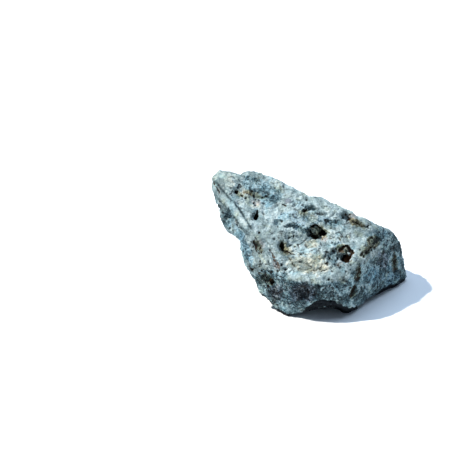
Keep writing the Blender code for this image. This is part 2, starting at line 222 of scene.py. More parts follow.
# Shallow hollows with a clear rim: (u, v, width, height, turn in degrees, depth).
BASINS = {
    "grey dish": (22.5, -12.5, 16.0, 17.0, 0.0, 0.9),
    "grey dish's top": (28.0, -1.0, 13.0, 9.0, -20.0, 0.5),
    "upper basin": (-28.0, 33.0, 16.0, 22.0, -35.0, 1.6),
    "middle basin": (-10.0, 3.0, 30.0, 22.0, -10.0, 2.8),
    "small dish": (-30.4, 20.3, 9.0, 8.0, 0.0, 1.2),
    "upper dish": (17.5, 20.3, 9.0, 8.0, 0.0, 0.6),
    "tip dish": (-46.0, 47.0, 20.0, 11.0, -20.0, 2.0),
    "cream dish": (-6.0, -20.0, 26.0, 12.0, 10.0, 1.8),
    "left dish": (-76.0, 27.0, 10.0, 9.0, -20.0, 1.4),
    "low dish": (-5.0, -43.5, 22.0, 15.0, 0.0, 1.6),
    "low left dish": (-30.0, -36.0, 16.0, 12.0, 10.0, 1.4),
    "right dish": (64.0, -20.0, 16.0, 14.0, 30.0, 1.4),
}

# The fine lines and the rib, painted pale as a highlight, that run down the ridge between the pitted side and the
# left band.
RIDGE = [
    (-88.1, 59.0), (-81.9, 51.7), (-76.7, 45.5), (-70.4, 39.3), (-64.2, 30.9), (-59.0, 22.6), (-52.0, 11.0),
]
RIB_SIDE = -3.8
RIB_WIDTH = 5.5
RIB_RISE = 0.45
LINE_WIDTH = 1.7
LINE_DEPTH = 0.7

# How far beside the ridge each line runs, and how strong it is.
LINES = {0.0: 1.0, -7.4: 0.3}

# Between which v the rib and the lines end at their foot, and between which the lines lose a share near the tip.
RIDGE_FOOT = (8.0, 20.0)
LINE_FADE = (36.0, 46.0)
LINE_LOSS = 0.35

# The distance given to places past the ridge's ends, where neither the rib nor a line runs, and how far it reaches.
FAR_OFF = 99.0
END_REACH = 1.0

# Where the pitted side turns over to the darker left band, how much slate the band has, partly its own tone and
# partly painted shade on a side turned from the lamp, how far beyond the edge it starts, and between which v it ends.
BAND_SLATE_AND_SHADE = 0.25
BAND_START = (2.5, 6.0)
BAND_TOP = (36.0, 50.0)
BAND_EDGE = [
    (-90.0, 62.0), (-82.3, 55.0), (-78.5, 49.0), (-65.5, 28.0), (-56.1, 12.2), (-52.4, -4.7), (-49.6, -19.6),
    (-44.9, -32.7),
]

# The lip under which the pale pitted side breaks off to the darker low faces, how much slate they have, partly their
# own tone and partly painted shade on faces turned from the lamp, and how far below the lip it starts.
LOW_SLATE_AND_SHADE = 0.9
LOW_START = (-1.5, 2.0)
LIP = [
    (-60.0, -40.0), (-45.0, -21.5), (-34.0, -23.4), (-19.0, -32.7), (4.7, -36.5), (32.7, -34.6), (39.3, -25.2),
    (48.6, -17.8), (60.8, -10.3), (71.0, -0.9), (77.6, 12.2), (80.4, 21.5),
]

# How dark the painted shade on the underside is, how far its faces turn down, and up to what height.
BENEATH_PAINTED_SHADE = 0.35
BENEATH_TURN = (-0.6, -0.2)
BENEATH_LEVEL = (6.0, 16.0)

# How dark the painted contact shadow along the foot of the stone is, and up to what height.
FOOT_PAINTED_SHADE = 0.45
FOOT_LEVEL = (0.0, 2.5)

# The edge under which the front tucks in between its feet, where painted shade makes all below it dark, how far
# below it that starts, and the v that stands for it left of its first point.
TUCK_START = (-0.5, 1.5)
TUCK_NONE = -90.0
UNDERCUT = [
    (-44.0, -70.0), (-38.0, -54.0), (-28.0, -60.3), (-18.7, -64.6), (-10.5, -64.6), (-8.0, -63.0),
    (-4.7, -58.8), (0.0, -55.4), (6.0, -51.4), (12.7, -50.2), (18.0, -50.6), (23.4, -52.4), (29.9, -55.4),
    (36.7, -58.3), (40.8, -57.9), (47.4, -56.1), (55.2, -51.1), (59.5, -47.4), (66.1, -40.8), (75.5, -36.9),
    (82.2, -35.5), (87.5, -31.0), (94.0, -25.0),
]

# Where the surface is worn smooth, with few crumbs and creases, apart from the rib:
# (u, v, width, height, turn in degrees, strength).
RIB_WEAR = 0.9
WORN = [
    (-84.0, 58.0, 18.0, 26.0, 0.0, 0.9), (-34.0, 22.0, 14.0, 26.0, 25.0, 0.5),
    (-50.0, 14.0, 12.0, 30.0, 35.0, 0.6), (60.0, 14.0, 30.0, 8.0, -32.0, 0.6),
    (30.0, 34.0, 60.0, 6.0, -26.0, 0.6), (-15.0, 53.0, 60.0, 6.0, -30.0, 0.7),
    (-34.0, 2.0, 12.0, 20.0, 30.0, 0.5), (-10.0, -30.0, 34.0, 5.0, -4.0, 0.5),
    (24.0, -28.0, 30.0, 6.0, 8.0, 0.5), (-34.0, 42.0, 40.0, 30.0, -30.0, 0.6),
]

# Where each tone gathers on the pitted side: (u, v, width, height, turn in degrees, strength).
ZONES = {
    "cream": [
        (-2.0, -17.8, 42.0, 20.0, -6.0, 0.62), (9.0, -22.0, 22.0, 12.0, 0.0, 0.5),
        (1.0, 1.5, 14.0, 8.0, 0.0, 0.7), (-20.5, -5.5, 8.0, 10.0, 10.0, 0.8),
        (41.0, 21.5, 14.0, 6.0, -25.0, 0.9), (-60.0, 49.5, 16.0, 8.0, -20.0, 0.45),
        (2.5, 25.0, 9.0, 9.0, 0.0, 0.6), (-50.5, 36.5, 14.0, 10.0, 0.0, 0.2),
        (-82.0, 60.0, 24.0, 20.0, -10.0, 0.45), (14.0, 7.0, 6.0, 5.0, 0.0, 0.35),
    ],
    "pale": [
        (-15.0, 53.0, 60.0, 5.0, -30.0, 0.5), (34.0, 33.0, 50.0, 5.0, -26.0, 0.6),
        (72.0, 12.0, 22.0, 5.0, -45.0, 0.6), (-66.4, 34.6, 9.0, 52.0, 29.0, 0.9),
        (-36.0, 28.0, 24.0, 16.0, -20.0, 0.8), (-12.0, 16.0, 26.0, 16.0, -15.0, 0.7),
        (21.0, 11.0, 20.0, 14.0, -30.0, 0.8), (20.0, -25.0, 40.0, 12.0, 8.0, 0.35),
        (45.0, -2.0, 14.0, 22.0, -30.0, 0.7), (-10.0, -27.0, 40.0, 10.0, -4.0, 0.1),
        (60.0, 15.5, 14.0, 8.0, -20.0, 0.6), (-52.0, 17.0, 12.0, 16.0, 30.0, 0.7),
        (-36.0, 5.0, 16.0, 20.0, 30.0, 0.6), (40.0, -56.0, 14.0, 9.0, 20.0, 1.3),
        (-18.0, -61.0, 18.0, 7.0, 0.0, 1.2), (-25.0, -52.0, 5.0, 16.0, 25.0, 0.8),
        (14.0, -38.0, 6.0, 5.0, 0.0, 0.6), (44.9, 2.0, 3.0, 10.0, 45.0, 1.2),
        (-37.0, 39.3, 2.6, 22.0, 50.0, 1.3),
    ],
    # Some slate ovals, on the right end and under the lip, are partly the stone's tone and partly painted shade on
    # faces turned from the lamp.
    "slate": [
        (-84.0, 58.0, 22.0, 26.0, 0.0, 0.4), (-50.0, 55.5, 30.0, 14.0, -18.0, 0.95),
        (-38.0, 45.0, 16.0, 20.0, -30.0, 0.9), (-4.0, 35.0, 44.0, 10.0, -26.0, 0.4),
        (24.0, -13.0, 16.0, 16.0, 0.0, 0.45), (22.0, 20.0, 10.0, 10.0, 0.0, 0.6),
        (-76.0, 27.0, 14.0, 20.0, -20.0, 0.7), (-64.0, 12.0, 20.0, 12.0, 30.0, 0.5),
        (-60.0, -3.0, 9.0, 36.0, 20.0, 0.65), (-27.5, -29.5, 14.0, 9.0, 0.0, 1.5),
        (-48.0, -36.0, 20.0, 30.0, 30.0, 0.35), (14.0, -43.0, 66.0, 15.0, 5.0, 1.0),
        (-30.0, -36.0, 16.0, 16.0, 0.0, 0.8), (62.0, -30.0, 44.0, 34.0, 35.0, 0.72),
        (78.0, -14.0, 22.0, 44.0, 10.0, 0.8), (71.0, 5.0, 25.0, 14.0, -45.0, 1.45),
        (69.5, -10.0, 8.0, 18.0, 10.0, 1.2), (-13.0, 17.5, 18.0, 5.0, -10.0, 1.0),
        (-4.0, 14.0, 12.0, 6.0, 0.0, 0.9), (-32.0, 46.0, 12.0, 12.0, -30.0, 1.1),
        (-25.0, -50.0, 24.0, 20.0, 0.0, 0.5), (-24.0, 26.0, 12.0, 8.0, 0.0, 0.5),
        (28.0, -1.0, 12.0, 6.0, -30.0, 0.5), (2.0, 24.0, 26.0, 7.0, -20.0, 0.5),
    ],
    "blue": [
        (60.0, -29.0, 20.0, 18.0, 20.0, 1.0), (-38.0, 45.0, 20.0, 20.0, -30.0, 0.2),
        (-12.0, 26.0, 26.0, 14.0, -15.0, 0.5), (14.0, 22.0, 18.0, 8.0, -20.0, 0.6),
        (76.0, -32.0, 18.0, 12.0, 30.0, 0.7), (-72.0, 20.0, 12.0, 16.0, 0.0, 0.5),
        (-60.0, -2.0, 9.0, 32.0, 20.0, 0.9),
    ],
    "plum": [
        (-6.0, -44.0, 26.0, 18.0, 10.0, 1.0), (-31.0, -44.0, 14.0, 16.0, 0.0, 0.7),
        (68.0, -14.0, 14.0, 20.0, 20.0, 0.5), (-20.0, 41.0, 10.0, 6.0, 0.0, 0.5),
    ],
    "olive": [
        (59.0, 3.0, 11.0, 14.0, -30.0, 1.0), (52.5, -6.0, 8.0, 12.0, -25.0, 0.9),
        (44.5, -26.0, 6.0, 16.0, -8.0, 1.0), (40.0, -44.0, 6.0, 14.0, -15.0, 0.8),
        (79.0, -16.0, 6.0, 16.0, 0.0, 0.9), (-48.0, -1.0, 6.0, 15.0, 30.0, 0.7),
        (-66.0, 47.0, 10.0, 6.0, -20.0, 0.7), (-52.0, 47.0, 22.0, 6.0, -20.0, 0.6),
        (-40.0, -31.5, 16.0, 10.0, -30.0, 0.65), (44.0, 20.0, 20.0, 7.0, -30.0, 0.8),
        (-6.0, 30.0, 10.0, 7.0, 0.0, 0.6), (31.0, -3.0, 12.0, 8.0, 0.0, 0.8),
        (8.0, 12.0, 20.0, 16.0, -12.0, 0.7), (-24.0, -3.0, 11.0, 16.0, 22.0, 0.7),
    ],
    "rust": [
        (36.8, -13.0, 9.0, 12.0, -20.0, 1.0), (7.0, 5.5, 8.0, 5.0, 0.0, 0.6), (37.0, 24.0, 6.0, 5.0, 0.0, 0.6),
        (31.0, -4.0, 9.0, 5.0, 20.0, 0.5), (-38.0, -32.0, 8.0, 6.0, -30.0, 0.6),
        (-32.5, -14.0, 6.0, 24.0, 28.0, 0.5),
    ],
    "rose": [
        (-50.0, 40.0, 12.0, 8.0, -10.0, 0.5), (-31.0, -18.5, 4.0, 12.0, 30.0, 1.0),
        (12.5, 5.0, 8.0, 6.0, 0.0, 0.6), (28.0, -17.0, 8.0, 6.0, 20.0, 0.8),
        (-83.0, 52.0, 8.0, 14.0, 10.0, 0.4), (40.0, 27.0, 8.0, 5.0, 0.0, 0.7),
        (-45.0, 1.0, 6.0, 10.0, 30.0, 0.5),
    ],
}


def smooth_step(low, high, value):
    """0 below low and 1 above high, with an even rise between them."""
    share = np.clip((value - low) / (high - low), 0.0, 1.0)
    return share * share * (3.0 - 2.0 * share)


def smooth_fall(low, high, value):
    """1 below low and 0 above high, with an even fall between them."""
    return 1.0 - smooth_step(low, high, value)


def mesh_points(mesh):
    points = np.empty(len(mesh.vertices) * 3)
    mesh.vertices.foreach_get("co", points)
    return points.reshape(-1, 3) / MM


def mesh_normals(mesh):
    normals = np.empty(len(mesh.vertices) * 3)
    mesh.vertices.foreach_get("normal", normals)
    return normals.reshape(-1, 3)


def set_points(mesh, points):
    mesh.vertices.foreach_set("co", (points * MM).ravel())
    mesh.update()


def keep_attribute(mesh, name, values):
    attribute = mesh.attributes.new(name, "FLOAT", "POINT")
    attribute.data.foreach_set("value", values.astype(np.float32))


def view_ways():
    """The view's right, up and outward directions, as rows."""
    cos, sin = math.cos(VIEW_SLOPE), math.sin(VIEW_SLOPE)
    return np.array([[1.0, 0.0, 0.0], [0.0, sin, cos], [0.0, -cos, sin]])


def to_view(points):
    """Where the camera sees each point, with what is nearer spread as it looks."""
    seen = (points - VIEW_MIDDLE) @ view_ways().T
    nearer = 1.0 - seen[:, 2:] / SIGHT_LENGTH
    seen[:, :2] = SIGHT_MIDDLE + (seen[:, :2] - SIGHT_MIDDLE) / nearer
    return seen


def shaped(obj):
    """Puts the evaluated mesh of an object in place of its own, and clears its modifiers."""
    mesh = bpy.data.meshes.new_from_object(obj.evaluated_get(bpy.context.evaluated_depsgraph_get()))
    obj.modifiers.clear()
    obj.data = mesh


def with_modifier(obj, kind, **settings):
    """Shapes an object by one modifier."""
    modifier = obj.modifiers.new(kind.title(), kind)
    for setting, value in settings.items():
        setattr(modifier, setting, value)
    shaped(obj)


# A noise texture keeps close to 0.5; this brings it to about -1 to 1.
NOISE_GAIN = 4.0

# How far apart the noises of two seeds lie, and how many layers of ever finer noise there are.
SEED_SHIFT = (17.3, -9.1, 5.7)
NOISE_LAYERS = 3


class Value:
    """A socket in a node tree. Arithmetic on it adds the Math nodes that it takes."""

    def __init__(self, graph, socket):
        self.graph = graph
        self.socket = socket

    def __add__(self, other):
        return self.graph.maths("ADD", self, other)

    def __radd__(self, other):
        return self.graph.maths("ADD", other, self)

    def __sub__(self, other):
        return self.graph.maths("SUBTRACT", self, other)

    def __rsub__(self, other):
        return self.graph.maths("SUBTRACT", other, self)

    def __mul__(self, other):
        return self.graph.maths("MULTIPLY", self, other)

    def __truediv__(self, other):
        return self.graph.maths("DIVIDE", self, other)

    def __rtruediv__(self, other):
        return self.graph.maths("DIVIDE", other, self)


class Made:
    """A node that has been added, whose outputs are read by name or by number."""

    def __init__(self, graph, node):
        self.graph = graph
        self.node = node

    def __getitem__(self, output):
        return Value(self.graph, self.node.outputs[output])


class Graph:
    """Adds nodes to the tree of a finish or of the relief."""

    def __init__(self, tree):
        self.tree = tree

    def node(self, kind, settings=None, sockets=None):
        """One node: its settings first, then the values or links of its sockets, by name or by number."""
        node = self.tree.nodes.new(kind)
        for setting, value in (settings or {}).items():
            if setting == "stops":
                stops = node.color_ramp.elements
                while len(stops) < len(value):
                    stops.new(1.0)
                for stop, (place, colour) in zip(stops, value):
                    stop.position = place
                    stop.color = colour
            else:
                setattr(node, setting, value)
        for name, value in (sockets or {}).items():
            if isinstance(value, Value):
                self.tree.links.new(value.socket, node.inputs[name])
            else:
                node.inputs[name].default_value = value
        return Made(self, node)

    def maths(self, operation, *values):
        return self.node("ShaderNodeMath", {"operation": operation}, dict(enumerate(values)))["Value"]

    def vector_maths(self, operation, *values):
        made = self.node("ShaderNodeVectorMath", {"operation": operation}, dict(enumerate(values)))
        return made["Value" if operation == "DISTANCE" else "Vector"]

    def scaled(self, vector, factor):
        return self.node("ShaderNodeVectorMath", {"operation": "SCALE"}, {0: vector, "Scale": factor})["Vector"]

    def step(self, value, low, high):
        """0 below low and 1 above high, with an even rise between them; low may be the greater."""
        settings = {"interpolation_type": "SMOOTHSTEP"}
        sockets = {"Value": value, "From Min": low, "From Max": high}
        return self.node("ShaderNodeMapRange", settings, sockets)["Result"]

    def blend(self, share, first, second, way="MIX"):
        """One colour laid over another by a share."""
        settings = {"data_type": "RGBA", "blend_type": way}
        return self.node("ShaderNodeMix", settings, {0: share, 6: first, 7: second})[2]

    def noise(self, place, size, detail, roughness=0.5, warp=0.0):
        """Noise from about -1 to 1, with lumps of a given size in metres."""
        sockets = {"Vector": place, "Scale": 1.0 / size, "Detail": detail, "Roughness": roughness, "Distortion": warp}
        return (self.node("ShaderNodeTexNoise", {}, sockets)[0] - 0.5) * NOISE_GAIN


def skin_of_node(name):
    """The stone's form at a finer mesh, from a merged copy of its solid."""
    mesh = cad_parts[name].data.copy()
    mesh.materials.clear()
    shape = bmesh.new()
    shape.from_mesh(mesh)
    bmesh.ops.remove_doubles(shape, verts=shape.verts[:], dist=1e-6)
    shape.to_mesh(mesh)
    shape.free()
    skin = bpy.data.objects.new("stone_skin", mesh)
    bpy.context.scene.collection.objects.link(skin)
    with_modifier(skin, "REMESH", mode="VOXEL", voxel_size=SKIN_VOXEL * MM)
    with_modifier(skin, "SMOOTH", factor=0.5, iterations=SKIN_SMOOTHING)
    return skin


def turned(seen, u, v, turn):
    """The places' u and v from a place, in axes turned by some degrees."""
    cos, sin = math.cos(math.radians(turn)), math.sin(math.radians(turn))
    du, dv = seen[:, 0] - u, seen[:, 1] - v
    return du * cos + dv * sin, dv * cos - du * sin


def fractal(points, size, seed):
    """Smooth noise between about -1 and 1, with lumps of a given size."""
    shift = Vector([seed * part for part in SEED_SHIFT])
    return np.array([noise.fractal(Vector(point) / size + shift, 1.0, 2.0, NOISE_LAYERS) for point in points])


def distance_to_route(seen, route):
    """The distance in the view from each point to a line through the route's points."""
    least = np.full(len(seen), np.inf)
    for (u0, v0), (u1, v1) in zip(route[:-1], route[1:]):
        du, dv = u1 - u0, v1 - v0
        share = np.clip(((seen[:, 0] - u0) * du + (seen[:, 1] - v0) * dv) / (du * du + dv * dv), 0.0, 1.0)
        least = np.minimum(least, np.hypot(seen[:, 0] - u0 - share * du, seen[:, 1] - v0 - share * dv))
    return least


def oval(seen, u, v, width, height, turn):
    """How far each place lies from an oval's middle, where 1 is on its rim."""
    along, across = turned(seen, u, v, turn)
    return np.hypot(2.0 * along / width, 2.0 * across / height)


def ragged_rim(points, parts):
    """Noise that makes rims uneven, as the sum of its parts."""
    return sum(share * fractal(points, size, seed) for share, size, seed in parts)


def side_of_route(seen, route):
    """The distance in the view from each place to a line, above 0 on its right, and far off beyond its ends."""
    least = np.full(len(seen), FAR_OFF)
    for (u0, v0), (u1, v1) in zip(route[:-1], route[1:]):
        long = math.hypot(u1 - u0, v1 - v0)
        du, dv = (u1 - u0) / long, (v1 - v0) / long
        along = (seen[:, 0] - u0) * du + (seen[:, 1] - v0) * dv
        off = (seen[:, 1] - v0) * du - (seen[:, 0] - u0) * dv
        off = np.where((along > -END_REACH) & (along < long + END_REACH), off, FAR_OFF)
        least = np.where(np.abs(off) < np.abs(least), off, least)
    return least


def sunk_marks(seen, ragged):
    """How deep the pitted side's marks sink at each place, and how dark their linings are."""
    depth, pit, basin = np.zeros((3, len(seen)))

    def sink(away, wall, stain, most, dark):
        np.maximum(depth, most * smooth_fall(*wall, away), out=depth)
        np.maximum(pit, dark * smooth_fall(*stain, away), out=pit)

    for *place, most, dark in PITS.values():
        sink(oval(seen, *place) + ragged, PIT_WALL, PIT_STAIN, most, dark)
    for u, v in (place for patch in SPECKS.values() for place in patch):
        away = oval(seen, u, v, SPECK_WIDTH, SPECK_WIDTH, 0.0) + ragged
        sink(away, SPECK_WALL, SPECK_STAIN, SPECK_DEPTH, SPECK_DARK)
    for route, width, most, dark in GROOVES.values():
        away = 2.0 * distance_to_route(seen, route) / width + GROOVE_RAGGED * ragged
        sink(away, GROOVE_WALL, GROOVE_STAIN, most, dark)
    for *place, rise, dark in INNER_RIBS.values():
        inner = smooth_fall(*INNER_WALL, oval(seen, *place) + BASIN_RAGGED * ragged)
        depth -= rise * inner
        pit += (dark - pit) * inner
    for *place, most in BASINS.values():
        away = oval(seen, *place) + BASIN_RAGGED * ragged
        np.maximum(basin, most * smooth_fall(*BASIN_WALL, away), out=basin)
    return depth + basin, pit


def ridge_marks(straight, seen, ragged):
    """How strongly the rib, painted pale as a highlight, and the fine lines beside it show at each place."""
    across = side_of_route(straight, RIDGE)
    foot = smooth_step(*RIDGE_FOOT, seen[:, 1])
    rib = foot * np.exp(-((2.0 * (across - RIB_SIDE + ragged) / RIB_WIDTH) ** 4))
    line = np.zeros(len(seen))
    for beside, most in LINES.items():
        off = across - beside + LINE_RAGGED * ragged
        np.maximum(line, most * np.exp(-((2.0 * off / LINE_WIDTH) ** 2)), out=line)
    return rib, line * foot * (1.0 - LINE_LOSS * smooth_step(*LINE_FADE, seen[:, 1]))


def hidden_pits(points, facing):
    """Ragged pits scattered over the sides that the camera doesn't see: their depths, and how dark they are."""
    draw = np.random.default_rng(HIDDEN_PIT_SEED)
    hidden = np.flatnonzero((facing < HIDDEN_PIT_FACING) & (points[:, 2] > HIDDEN_PIT_LEVEL))
    ragged = ragged_rim(points, HIDDEN_RAGGED)
    sunk, dark = np.zeros((2, len(points)))
    for middle in points[draw.choice(hidden, HIDDEN_PITS, replace=False)]:
        width, most = draw.uniform(*HIDDEN_PIT_WIDTHS), draw.uniform(*HIDDEN_PIT_DARKS)
        away = 2.0 * np.linalg.norm(points - middle, axis=1) / width + ragged
        np.maximum(sunk, HIDDEN_PIT_DEPTH * width * smooth_fall(*SPECK_WALL, away), out=sunk)
        np.maximum(dark, most * smooth_fall(*SPECK_STAIN, away), out=dark)
    return sunk, dark


def carve(skin):
    """Sinks and raises the named marks, pits the hidden sides, and keeps where each mark, tone and painted shade
    lies.
    """
    mesh = skin.data
    points, normals = mesh_points(mesh), mesh_normals(mesh)
    outward = view_ways()[2]
    facing = normals @ outward
    ragged = ragged_rim(points, RAGGED)
    straight = to_view(points)
    seen = straight.copy()
    for axis, seed in enumerate(WANDER_SEEDS):
        seen[:, axis] += WANDER * fractal(points, WANDER_SIZE, seed)
    front = smooth_step(*FRONT_FACING, facing) * smooth_step(*FRONT_REACH, seen[:, 2])

    depth, pit = sunk_marks(seen, ragged)
    rib, line = ridge_marks(straight, seen, ragged)
    depth += LINE_DEPTH * line - RIB_RISE * rib
    sunk, hidden_pit = hidden_pits(points, facing)
    swell = SKIN_LIFT * smooth_step(0.0, LIFT_HEIGHT, points[:, 2])
    for *place, most in TIP_SWELLS.values():
        swell += most * smooth_fall(*SWELL_WALL, oval(straight, *place))
    inward = normals + SINK_LEAN * outward * smooth_step(*LEAN_FACING, facing)[:, None]
    inward /= np.linalg.norm(inward, axis=1, keepdims=True)
    set_points(mesh, points - inward * (depth * front)[:, None] + normals * (swell - sunk)[:, None])

    keep_attribute(mesh, "pit", np.maximum(front * pit, hidden_pit))
    keep_attribute(mesh, "line", front * line)
    keep_attribute(mesh, "rib", front * rib)
    keep_tones(mesh, points, seen, ragged, front)
    worn = RIB_WEAR * rib
    for *place, strength in WORN:
        worn = np.maximum(worn, strength * np.exp(-(oval(seen, *place) ** 4)))
    keep_attribute(mesh, "worn", worn * front)
    # Painted shade: dark beneath, where the front tucks in, and along the ground.
    keep_attribute(mesh, "damp", painted_shade_share(points, normals, seen, ragged, front))


def keep_tones(mesh, points, seen, ragged, front):
    """Keeps how strongly each tone shows: by its places in the view, and in patches on the hidden sides."""
    patches = smooth_step(*HIDDEN_PATCH_EDGE, fractal(points, HIDDEN_PATCH, HIDDEN_PATCH_SEED))
    hidden_tones = {"slate": LEAST_SLATE + MORE_SLATE * patches, "pale": HIDDEN_PALE * (1.0 - patches)}
    for tone, places in ZONES.items():
        share = slate_and_shade_faces(seen, ragged) if tone == "slate" else np.zeros(len(points))
        for *place, strength in places:
            away = oval(seen, *place) + ZONE_RAGGED * ragged
            share = np.maximum(share, strength * smooth_fall(*ZONE_EDGE, away))
        keep_attribute(mesh, tone, share * front + hidden_tones.get(tone, 0.0) * (1.0 - front))


def slate_and_shade_faces(seen, ragged):
    """How strongly slate shows on the low faces under the lip and on the left band: partly their own tone, partly
    painted shade.
    """
    u, v = seen[:, 0], seen[:, 1]
    drop = np.interp(u, *zip(*LIP)) - v
    low = LOW_SLATE_AND_SHADE * smooth_step(*LOW_START, drop + FACE_RAGGED * ragged)
    edge_u = np.interp(-v, *zip(*[(-edge_v, edge_u) for edge_u, edge_v in BAND_EDGE]))
    left = BAND_SLATE_AND_SHADE * smooth_step(*BAND_START, edge_u - u + FACE_RAGGED * ragged)
    return np.maximum(low, left * smooth_fall(*BAND_TOP, v))


def painted_shade_share(points, normals, seen, ragged, front):
    """How dark the painted shade is at each place: beneath, where the front tucks in, and where it meets the ground.
    """
    level = points[:, 2]
    beneath = smooth_fall(*BENEATH_TURN, normals[:, 2]) * smooth_fall(*BENEATH_LEVEL, level)
    under = np.interp(seen[:, 0], *zip(*UNDERCUT), left=TUCK_NONE) - seen[:, 1]
    tucked = smooth_step(*TUCK_START, under + ragged) * front
    foot = smooth_fall(*FOOT_LEVEL, level + FOOT_RAGGED * ragged)
    return np.maximum(np.maximum(BENEATH_PAINTED_SHADE * beneath, tucked), FOOT_PAINTED_SHADE * foot)


# The relief's inputs, in millimetres, apart from the depth of a pock, which is a share of its width.
RELIEF = {
    "Lump size": 10.0,
    "Lump rise": 1.1,
    "Crumb size": 3.4,
    "Crumb rise": 1.35,
    "Grain size": 2.0,
    "Grain rise": 0.35,
    "Crease spacing": 8.0,
    "Crease depth": 0.8,
    "Pock spacing": 4.5,
    "Pock width": 4.5,
    "Pock depth": 0.32,
    "Flat margin": 3.0,
}
RELIEF_SEED = 11

# How finely, in turns to a metre, and how far, in metres, noise bends the crumbs and the rims of the pocks.
CRUMB_BEND = (260.0, 0.004)
POCK_BEND = (420.0, 0.0026)

# The most pocks to a square metre, and the least draw for the width of one, which is squared.
POCK_DENSITY = 60000.0
LEAST_POCK = 0.25

# Between which shares of its half width a pock's wall lies.
POCK_RIM = (1.0, 0.35)

# How much wider than a lump the rougher parts and the parts with many pocks are.
ROUGH_PARTS = 1.6
POCK_PARTS = 2.5

# The middle of the crumbs' height, the least of it that every part has, and how much of it wear takes off.
CRUMB_MIDDLE = 0.45
LEAST_CRUMBS = 0.4
CRUMB_WEAR = 0.75

# How near to a fold of the noise a crease starts, and where it is deepest.
CREASE_EDGE = (0.16, 0.02)

# How high above the ground the relief starts, in metres.
FLAT_TOP = 0.0002


def relief_tree():
    """The node tree that roughens the skin with lumps, crumbs, creases, grain and scattered pocks."""
    tree = bpy.data.node_groups.new("stone relief", "GeometryNodeTree")
    tree.interface.new_socket("Skin", in_out="INPUT", socket_type="NodeSocketGeometry")
    for name in RELIEF:
        tree.interface.new_socket(name, in_out="INPUT", socket_type="NodeSocketFloat")
    tree.interface.new_socket("Seed", in_out="INPUT", socket_type="NodeSocketInt")
    tree.interface.new_socket("Finish", in_out="INPUT", socket_type="NodeSocketMaterial")
    tree.interface.new_socket("Skin", in_out="OUTPUT", socket_type="NodeSocketGeometry")
    graph = Graph(tree)
    given = graph.node("NodeGroupInput")
    place = graph.node("GeometryNodeInputPosition")["Position"]
    normal = graph.node("GeometryNodeInputNormal")["Normal"]
    worn = graph.node("GeometryNodeInputNamedAttribute", {"data_type": "FLOAT"}, {"Name": "worn"})["Attribute"]

    lumps = graph.noise(place, given["Lump size"], 3.0) * given["Lump rise"]
    scale, reach = CRUMB_BEND
    bend = graph.node("ShaderNodeTexNoise", {}, {"Vector": place, "Scale": scale, "Detail": 3.0})["Color"]
    bent_place = graph.vector_maths("ADD", place, graph.scaled(bend, reach))
    sockets = {"Vector": bent_place, "Scale": 1.0 / given["Crumb size"]}
    cells = graph.node("ShaderNodeTexVoronoi", {"feature": "F1"}, sockets)["Distance"]
    rough_parts = graph.step(graph.noise(place, given["Lump size"] * ROUGH_PARTS, 2.0), -0.5, 0.5)
    crumbs = (CRUMB_MIDDLE - cells) * given["Crumb rise"] * (LEAST_CRUMBS + rough_parts) * (1.0 - worn * CRUMB_WEAR)
    folds = graph.maths("ABSOLUTE", graph.noise(place, given["Crease spacing"], 3.0))
    creased_parts = graph.step(graph.noise(place, given["Lump size"], 2.0), -0.2, 0.3)
    crease = (1.0 - worn) * graph.step(folds, *CREASE_EDGE) * creased_parts
    grain = graph.noise(place, given["Grain size"], 3.0, 0.6) * given["Grain rise"]
    pock, pock_width = scattered_pocks(graph, given, place)
    height = lumps + crumbs + grain - crease * given["Crease depth"] - pock * pock_width * given["Pock depth"]

    level = graph.node("ShaderNodeSeparateXYZ", {}, {"Vector": place})["Z"]
    clear = graph.step(level, FLAT_TOP, given["Flat margin"])
    shape = given["Skin"]
    for name, value in (("pock", pock * clear), ("crease", crease), ("height", (crumbs + grain) / MM)):
        shape = graph.node(
            "GeometryNodeStoreNamedAttribute",
            {"data_type": "FLOAT", "domain": "POINT"},
            {"Geometry": shape, "Name": name, "Value": value},
        )["Geometry"]
    sockets = {"Geometry": shape, "Offset": graph.scaled(normal, height * clear)}
    shape = graph.node("GeometryNodeSetPosition", {}, sockets)["Geometry"]
    shape = graph.node("GeometryNodeRealizeInstances", {}, {"Geometry": shape})["Geometry"]
    sockets = {"Geometry": shape, "Material": given["Finish"]}
    shape = graph.node("GeometryNodeSetMaterial", {}, sockets)["Geometry"]
    graph.node("NodeGroupOutput", {}, {"Skin": shape})
    return tree


def scattered_pocks(graph, given, place):
    """Small ragged hollows, closer together in some parts: how far into one a place lies, and how wide it is."""
    full_parts = graph.step(graph.noise(place, given["Lump size"] * POCK_PARTS, 2.0), -0.4, 0.5)
    sown = graph.node(
        "GeometryNodeDistributePointsOnFaces",
        {"distribute_method": "POISSON"},
        {
            "Mesh": given["Skin"],
            "Distance Min": given["Pock spacing"],
            "Density Max": POCK_DENSITY,
            "Density Factor": full_parts,
            "Seed": given["Seed"],
        },
    )["Points"]
    scale, reach = POCK_BEND
    bend = graph.node("ShaderNodeTexNoise", {}, {"Vector": place, "Scale": scale, "Detail": 2.0})["Color"]
    bend = graph.scaled(graph.vector_maths("SUBTRACT", bend, (0.5, 0.5, 0.5)), reach)
    bent_place = graph.vector_maths("ADD", place, bend)
    sockets = {"Geometry": sown, "Sample Position": bent_place}
    nearest = graph.node("GeometryNodeSampleNearest", {"domain": "POINT"}, sockets)["Index"]
    middle = graph.node(
        "GeometryNodeSampleIndex",
        {"data_type": "FLOAT_VECTOR", "domain": "POINT"},
        {"Geometry": sown, "Value": place, "Index": nearest},
    )["Value"]
    sockets = {"Min": LEAST_POCK, "Max": 1.0, "ID": nearest, "Seed": given["Seed"]}
    share = graph.node("FunctionNodeRandomValue", {"data_type": "FLOAT"}, sockets)["Value"]
    width = share * share * given["Pock width"]
    away = graph.vector_maths("DISTANCE", bent_place, middle) * 2.0 / width
    return graph.step(away, *POCK_RIM), width


